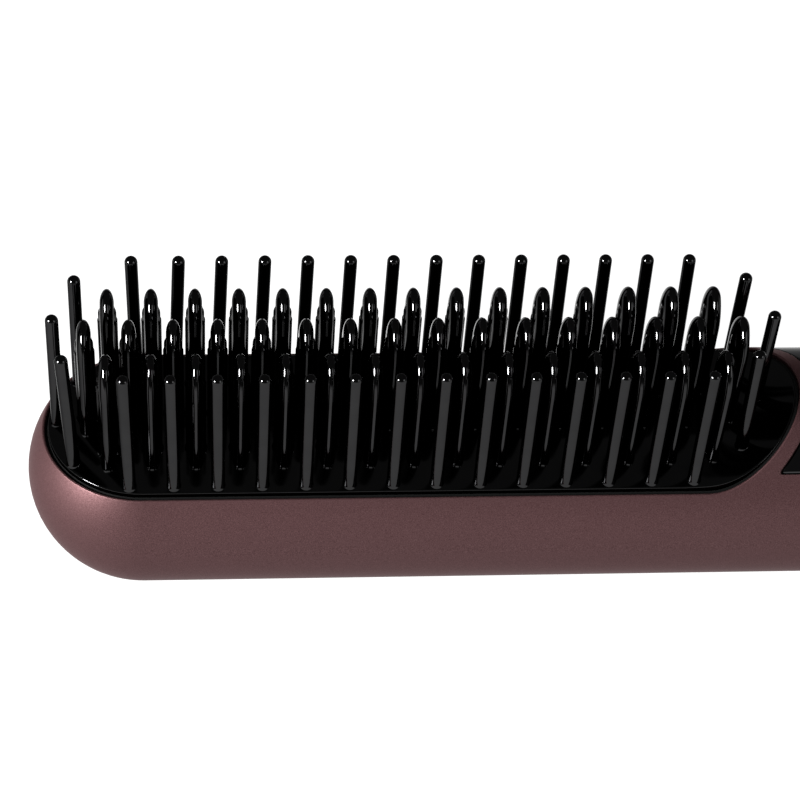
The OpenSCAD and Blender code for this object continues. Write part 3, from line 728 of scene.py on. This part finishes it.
def make_lens():
    shape = Shape()
    top = BODY_RADIUS - SEAT_GAP
    low = BODY_RADIUS - PANEL_THICK + PANEL_LIFT
    holes = []
    for name in ("power_button", "plus_button", "minus_button"):
        place, radius = button_place(name)
        holes.append(circle(place, radius + BUTTON_GAP))
    for points in islands("indicator_lights"):
        x, y, z = middle(points)
        holes.append([(px, py + y) for px, py in circle(x, LIGHT_RADIUS, 20)])
    rims = []
    for share in spread(0, math.pi / 2, 5):
        inset = PANEL_GAP + PANEL_ROUND * (1 - math.sin(share))
        drop = PANEL_ROUND * (1 - math.cos(share))
        rims.append([over_axis(x, y, top - drop) for x, y in panel_outline(inset)])
    rims.append([over_axis(x, y, low) for x, y in panel_outline(PANEL_GAP)])
    shape.grid(rims, closed=True)
    for hole in holes:
        centre = Vector([sum(c) / len(hole) for c in zip(*hole)])
        rows = []
        for share in spread(0, math.pi / 2, 4):
            grow = 1 + HOLE_ROUND * (1 - math.sin(share)) / (Vector(hole[0]) - centre).length
            drop = HOLE_ROUND * (1 - math.cos(share))
            wide = [centre + (Vector(p) - centre) * grow for p in hole]
            rows.append([over_axis(x, y, top - drop) for x, y in wide])
        rows.append([over_axis(x, y, low) for x, y in hole])
        shape.grid(rows, closed=True)
    wide_holes = []
    for hole in holes:
        centre = Vector([sum(c) / len(hole) for c in zip(*hole)])
        grow = 1 + HOLE_ROUND / (Vector(hole[0]) - centre).length
        wide_holes.append([tuple(centre + (Vector(p) - centre) * grow) for p in hole])
    sides = ((top, PANEL_GAP + PANEL_ROUND, wide_holes), (low, PANEL_GAP, holes))
    for radius, inset, rings in sides:
        outer = [unrolled(x, y, radius) for x, y in panel_outline(inset)]
        flat_holes = [[unrolled(x, y, radius) for x, y in hole] for hole in rings]
        for corners in fill_flat(outer, flat_holes, 1.8):
            shape.face([rolled(c, radius) for c in corners])
    mesh = shape.mesh("panel", sharp=24)
    smooth_round(mesh, top)
    return add_piece("panel", mesh, "brush", "panel", ["control_lens"])


def cap_height(y, distance, radius):
    """Height of a button's cap, which follows the round body and is dished a little."""
    dish_radius = radius - 1
    dish = BUTTON_DISH * max(0.0, 1 - (distance / dish_radius) ** 2)
    return over_axis(0, y, BODY_RADIUS + BUTTON_PROUD)[2] - dish


def make_button(name, body, marks):
    """One button: cap, flange and stem in one piece, and its mark, which rides with it."""
    low = node_box(name)[0]
    place, radius = button_place(name)
    under = INNER_RADIUS + PANEL_GAP
    flange_top = AXIS_Z + math.sqrt(under ** 2 - (radius + FLANGE_RIM) ** 2) - FLANGE_GAP
    shape = Shape()
    turns = spread(0, 2 * math.pi, 49)[:-1]

    def ring(distance, drop=0.0, level=None):
        row = []
        for turn in turns:
            y = distance * math.sin(turn)
            z = level if level is not None else cap_height(y, distance, radius) - drop
            row.append((place + distance * math.cos(turn), y, z))
        return row

    rows = [ring(radius * share) for share in (0.12, 0.3, 0.5, 0.65, 0.78)]
    rows.append(ring(radius - BUTTON_ROUND - 0.05))
    for share in spread(0, math.pi / 2, 6):
        inset, drop = BUTTON_ROUND * (1 - math.sin(share)), BUTTON_ROUND * (1 - math.cos(share))
        rows.append(ring(radius - inset, drop))
    rows.append(ring(radius, level=flange_top))
    rows.append(ring(radius + FLANGE_RIM, level=flange_top))
    rows.append(ring(radius + FLANGE_RIM, level=flange_top - FLANGE_THICK))
    rows.append(ring(STEM_RADIUS, level=flange_top - FLANGE_THICK))
    rows.append(ring(STEM_RADIUS, level=low.z))
    shape.grid(rows, closed=True)
    shape.fan(rows[0], (place, 0.0, cap_height(0.0, 0.0, radius)))
    shape.fan(rows[-1], (place, 0.0, low.z))
    add_piece(name + "_cap", shape.mesh(name, sharp=40), body, "button", [name])
    inlay = Shape()
    for line, width in marks(radius):
        ribbon(inlay, [(place + x, y) for x, y in line], width, place, radius)
    mesh = inlay.mesh(name + "_mark", sharp=40)
    add_piece(name + "_mark", mesh, body, "light_guide", material=slot_material("mark"))


def ribbon(shape, line, width, place, radius):
    """A thin raised line on a button's cap, along points seen from above."""
    line = [Vector(p) for p in line]
    rows = []
    for i, here in enumerate(line):
        ahead = (line[min(i + 1, len(line) - 1)] - line[max(i - 1, 0)]).normalized()
        side = Vector((-ahead.y, ahead.x)) * width / 2
        row = []
        for spot, lift in ((here - side, -MARK_SUNK), (here - side, MARK_PROUD), (here, MARK_CROWN),
                           (here + side, MARK_PROUD), (here + side, -MARK_SUNK)):
            distance = math.hypot(spot.x - place, spot.y)
            row.append((spot.x, spot.y, cap_height(spot.y, distance, radius) + lift))
        rows.append(row)
    shape.grid(rows, closed=True)
    shape.face(rows[0])
    shape.face(rows[-1][::-1])


def steps_between(a, b, count=7):
    return [tuple(Vector(a).lerp(Vector(b), t)) for t in spread(0, 1, count)]


def minus_marks(radius):
    arm = 0.36 * radius
    return [(steps_between((0, -arm), (0, arm)), MARK_WIDTH)]


def plus_marks(radius):
    arm = 0.36 * radius
    half = MARK_WIDTH / 2
    return minus_marks(radius) + [(steps_between((half, 0), (arm, 0)), MARK_WIDTH),
                                  (steps_between((-arm, 0), (-half, 0)), MARK_WIDTH)]


def power_marks(radius):
    ring = 0.34 * radius
    turns = spread(math.radians(40), math.radians(320), 31)
    arc = [(-ring * math.cos(t), ring * math.sin(t)) for t in turns]
    stroke = steps_between((-1.25 * ring, 0), (-0.25 * ring, 0))
    return [(arc, POWER_MARK_WIDTH), (stroke, POWER_MARK_WIDTH)]


# Materials
materials = {}


def new_material(name):
    material = bpy.data.materials.new(name)
    material.use_nodes = True
    return material, material.node_tree.nodes, material.node_tree.links


def noise(nodes, links, size, detail=2.0):
    """Noise with features of this size in millimetres, fixed to the piece."""
    coords = nodes.new("ShaderNodeTexCoord")
    texture = nodes.new("ShaderNodeTexNoise")
    texture.inputs["Scale"].default_value = 1 / (size * MM)
    texture.inputs["Detail"].default_value = detail
    links.new(coords.outputs["Object"], texture.inputs["Vector"])
    return texture.outputs["Fac"]


def spread_value(nodes, links, source, low, high, start=0.35, end=0.65):
    ramp = nodes.new("ShaderNodeMapRange")
    ramp.inputs["From Min"].default_value = start
    ramp.inputs["From Max"].default_value = end
    ramp.inputs["To Min"].default_value = low
    ramp.inputs["To Max"].default_value = high
    links.new(source, ramp.inputs["Value"])
    return ramp.outputs["Result"]


def mix_colour(nodes, links, factor, first, second):
    mix = nodes.new("ShaderNodeMix")
    mix.data_type = "RGBA"
    mix.inputs["A"].default_value = (*first, 1)
    mix.inputs["B"].default_value = (*second, 1)
    links.new(factor, mix.inputs["Factor"])
    return mix.outputs["Result"]


def add_bump(nodes, links, source, shader, strength, height):
    bump = nodes.new("ShaderNodeBump")
    bump.inputs["Strength"].default_value = strength
    bump.inputs["Distance"].default_value = height * MM
    links.new(source, bump.inputs["Height"])
    links.new(bump.outputs["Normal"], shader.inputs["Normal"])


def paint_material():
    """Satin metallic paint: a mauve base with fine bright flakes and a faint cloudiness."""
    material, nodes, links = new_material("satin_mauve_paint")
    shader = nodes["Principled BSDF"]
    shader.inputs["Metallic"].default_value = 0.84
    shader.inputs["Specular IOR Level"].default_value = 0.3
    shader.inputs["Specular Tint"].default_value = (0.5, 0.42, 0.42, 1)
    shader.inputs["Coat Weight"].default_value = 0.16
    shader.inputs["Coat Roughness"].default_value = 0.45
    flakes = noise(nodes, links, 0.11, 1.0)
    sparkle = spread_value(nodes, links, flakes, 0, 1, 0.3, 0.75)
    colour = mix_colour(nodes, links, sparkle, (0.043, 0.0175, 0.0185), (0.098, 0.05, 0.052))
    links.new(colour, shader.inputs["Base Color"])
    links.new(spread_value(nodes, links, flakes, 0.55, 0.47), shader.inputs["Roughness"])
    add_bump(nodes, links, flakes, shader, 0.12, 0.01)
    return material


def gloss_material(name, colour, rough):
    """Glossy black that stays dark at its outlines, with faint unevenness."""
    material, nodes, links = new_material(name)
    shader = nodes["Principled BSDF"]
    shader.inputs["Metallic"].default_value = 1.0
    shader.inputs["Specular Tint"].default_value = (0.44, 0.44, 0.44, 1)
    clouds = noise(nodes, links, 3.0)
    second = [1.3 * c for c in colour]
    links.new(mix_colour(nodes, links, clouds, colour, second), shader.inputs["Base Color"])
    links.new(spread_value(nodes, links, clouds, 0.85 * rough, 1.15 * rough), shader.inputs["Roughness"])
    add_bump(nodes, links, noise(nodes, links, 0.8), shader, 0.006, 0.01)
    return material


def grained_material(name, colour, rough, grain=0.25, metallic=0.0):
    """Matt or brushed material with a fine grain in colour, roughness and bump."""
    material, nodes, links = new_material(name)
    shader = nodes["Principled BSDF"]
    shader.inputs["Metallic"].default_value = metallic
    fine = noise(nodes, links, grain, 3.0)
    first = [0.85 * c for c in colour]
    second = [min(1.0, 1.12 * c) for c in colour]
    links.new(mix_colour(nodes, links, fine, first, second), shader.inputs["Base Color"])
    varied = spread_value(nodes, links, fine, 0.88 * rough, min(1.0, 1.1 * rough))
    links.new(varied, shader.inputs["Roughness"])
    add_bump(nodes, links, fine, shader, 0.15, 0.02)
    return material


# Roughness of the metal slots
METAL_SLOTS = {"heat_block": 0.35, "spring_steel": 0.3, "fastener": 0.28, "fuse": 0.3,
               "contact": 0.15, "socket": 0.3}


def slot_material(slot):
    """The material of a slot, made the first time that it is asked for."""
    if slot in materials:
        return materials[slot]
    colours = {m["slot"]: m["base_color"] for m in frame["record"]["materials"]}
    if slot == "shell":
        made = paint_material()
    elif slot in ("plate", "teeth", "pins"):
        rough = 0.06 if slot == "teeth" else 0.09
        made = gloss_material("black_" + slot, (0.025, 0.025, 0.0255), rough)
    elif slot == "panel":
        made = gloss_material("black_panel", (0.035, 0.035, 0.036), 0.06)
    elif slot == "button":
        made = grained_material("satin_button", (0.012, 0.012, 0.013), 0.34, 0.12)
    elif slot == "seal":
        # Near-black rubber with its gloss almost taken away: partly the seal's own dark colour, partly
        # painted shade of the gap between the plate and the rim
        made = grained_material("rubber_with_painted_gap_shade", (0.002, 0.002, 0.002), 0.7, 0.15)
        made.node_tree.nodes["Principled BSDF"].inputs["Specular IOR Level"].default_value = 0.05
    elif slot == "light_guide":
        made = grained_material("light_guide", (0.32, 0.325, 0.33), 0.35, 0.2)
    elif slot == "mark":
        made = grained_material("grey_mark", (0.3, 0.3, 0.3), 0.5, 0.1)
    elif slot in METAL_SLOTS:
        made = grained_material(slot, colours[slot][:3], METAL_SLOTS[slot], 0.15, 1.0)
    else:
        made = grained_material(slot, colours[slot][:3], 0.55)
    materials[slot] = made
    return made


def finish_nodes():
    """Gives every CAD node the material of its slot."""
    slots = {part["node"]: part["material_slot"] for part in frame["record"]["subparts"]}
    for name, node in frame["nodes"].items():
        node.data.materials.clear()
        node.data.materials.append(slot_material(slots[name]))


# Studio
def add_camera():
    ahead = Vector((math.sin(CAMERA_YAW) * math.cos(CAMERA_DIP),
                    math.cos(CAMERA_YAW) * math.cos(CAMERA_DIP),
                    -math.sin(CAMERA_DIP)))
    level = Vector((math.cos(CAMERA_YAW), -math.sin(CAMERA_YAW), 0))
    upright = level.cross(ahead)
    right = math.cos(CAMERA_ROLL) * level + math.sin(CAMERA_ROLL) * upright
    up = math.cos(CAMERA_ROLL) * upright - math.sin(CAMERA_ROLL) * level
    data = bpy.data.cameras.new("camera")
    data.lens = CAMERA_LENS
    data.sensor_width = CAMERA_SENSOR
    data.clip_start = 0.01
    camera = bpy.data.objects.new("camera", data)
    bpy.context.scene.collection.objects.link(camera)
    turn = Matrix((right, up, -ahead)).transposed()
    camera.matrix_world = Matrix.Translation(CAMERA_PLACE) @ turn.to_4x4()
    bpy.context.scene.camera = camera


def area_lamp(name, place, target, size, power, glossy=True):
    data = bpy.data.lights.new(name, "AREA")
    data.shape = "DISK"
    data.size = size
    data.energy = power
    lamp = bpy.data.objects.new(name, data)
    lamp.location = place
    lamp.rotation_euler = (Vector(target) - Vector(place)).to_track_quat("-Z", "Y").to_euler()
    lamp.visible_glossy = glossy
    bpy.context.scene.collection.objects.link(lamp)


HEAD_MIDDLE = Vector((-0.07, 0, 0.03))


def side_lamp(name, azimuth, elevation, distance, size, power):
    """A round lamp that shines on the head from a direction given in degrees."""
    azimuth, elevation = math.radians(azimuth), math.radians(elevation)
    way = Vector((math.cos(azimuth) * math.cos(elevation), math.sin(azimuth) * math.cos(elevation),
                  math.sin(elevation)))
    area_lamp(name, HEAD_MIDDLE + way * distance, HEAD_MIDDLE, size, power)


def add_world():
    """White up to the horizon and dark above it, so that gloss shows bands and stays black on top."""
    world = bpy.data.worlds.new("studio")
    bpy.context.scene.world = world
    world.use_nodes = True
    nodes, links = world.node_tree.nodes, world.node_tree.links
    coords = nodes.new("ShaderNodeTexCoord")
    split = nodes.new("ShaderNodeSeparateXYZ")
    ramp = nodes.new("ShaderNodeMapRange")
    ramp.inputs["From Min"].default_value = 0.0
    ramp.inputs["From Max"].default_value = math.sin(SKY_TURN)
    ramp.inputs["To Min"].default_value = 1.0
    ramp.inputs["To Max"].default_value = SKY_TOP
    ramp.interpolation_type = "SMOOTHSTEP"
    links.new(coords.outputs["Generated"], split.inputs[0])
    links.new(split.outputs["Z"], ramp.inputs["Value"])
    links.new(ramp.outputs[0], nodes["Background"].inputs["Strength"])
    nodes["Background"].inputs["Color"].default_value = (1, 1, 1, 1)


def add_floor():
    """A grey sheet under the brush, white to the camera and in gloss by a glow that lights nothing else."""
    corners = [(x * FLOOR_HALF, y * FLOOR_HALF, 0) for x, y in ((-1, -1), (1, -1), (1, 1), (-1, 1))]
    mesh = bpy.data.meshes.new("floor")
    mesh.from_pydata(corners, [], [(0, 1, 2, 3)])
    floor = bpy.data.objects.new("floor", mesh)
    bpy.context.scene.collection.objects.link(floor)
    material = grained_material("floor", (FLOOR_GREY, FLOOR_GREY, FLOOR_GREY), 0.9, 4.0)
    nodes, links = material.node_tree.nodes, material.node_tree.links
    shader = nodes["Principled BSDF"]
    shader.inputs["Specular IOR Level"].default_value = 0.0
    shader.inputs["Emission Color"].default_value = (1, 1, 1, 1)
    path = nodes.new("ShaderNodeLightPath")
    seen = path.outputs["Is Camera Ray"]
    for other in ("Is Glossy Ray", "Is Transmission Ray"):
        either = nodes.new("ShaderNodeMath")
        either.operation = "MAXIMUM"
        links.new(seen, either.inputs[0])
        links.new(path.outputs[other], either.inputs[1])
        seen = either.outputs[0]
    links.new(spread_value(nodes, links, seen, 0, FLOOR_GLOW, 0, 1), shader.inputs["Emission Strength"])
    mesh.materials.append(material)


add_camera()
bpy.context.scene.view_settings.view_transform = "Standard"
add_world()
add_floor()
area_lamp("overhead", place=(0, 0, 1.2), target=(0, 0, 0), size=1.0, power=12, glossy=False)
side_lamp("key", azimuth=-150, elevation=24, distance=0.8, size=0.22, power=26)
side_lamp("fill", azimuth=-39, elevation=24, distance=0.8, size=0.36, power=0.9)

finish_nodes()
make_body()
make_plate()
make_seal()
make_pins()
make_teeth()
make_lens()
make_button("power_button", "power", power_marks)
make_button("plus_button", "plus", plus_marks)
make_button("minus_button", "minus", minus_marks)
